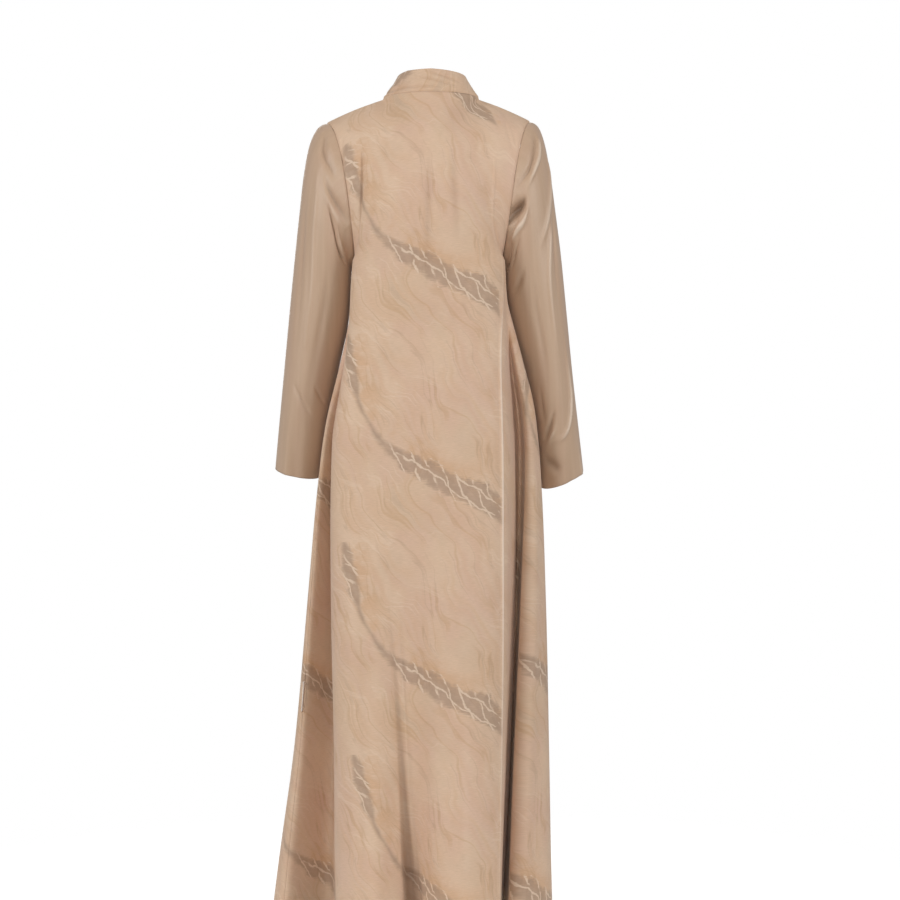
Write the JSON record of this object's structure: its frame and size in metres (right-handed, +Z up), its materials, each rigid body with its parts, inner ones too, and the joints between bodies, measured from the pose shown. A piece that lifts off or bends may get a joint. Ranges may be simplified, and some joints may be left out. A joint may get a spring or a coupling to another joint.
{
  "type": "abaya cloak",
  "caption": "Ankle-length A-line cloak with an open front, a standing collar, front bands and straight set-in sleeves, hollow as worn, in marbled jacquard with plain satin-crepe sleeves.",
  "frame": {"origin": "middle of the neck base, level with the neck ends of the shoulder seams, where the wearer's shoulders carry the cloak", "axes": "+Z up, -Y the way the wearer faces, +X the wearer's left"},
  "size_m": [0.5771, 0.4865, 1.5402],
  "materials": {
    "marbled_jacquard": "matt beige jacquard with darker marble bands and fine veins",
    "plain_satin_crepe": "plain taupe satin-backed crepe with a soft sheen",
    "white_ribbon": "blank white ribbon"
  },
  "bodies": {
    "root": {"back": "marbled_jacquard", "front_left": "marbled_jacquard", "front_right": "marbled_jacquard", "collar": "marbled_jacquard", "band_left": "marbled_jacquard", "band_right": "marbled_jacquard", "sleeve_left": "plain_satin_crepe", "sleeve_right": "plain_satin_crepe", "side_label": "white_ribbon"}
  },
  "joints": []
}
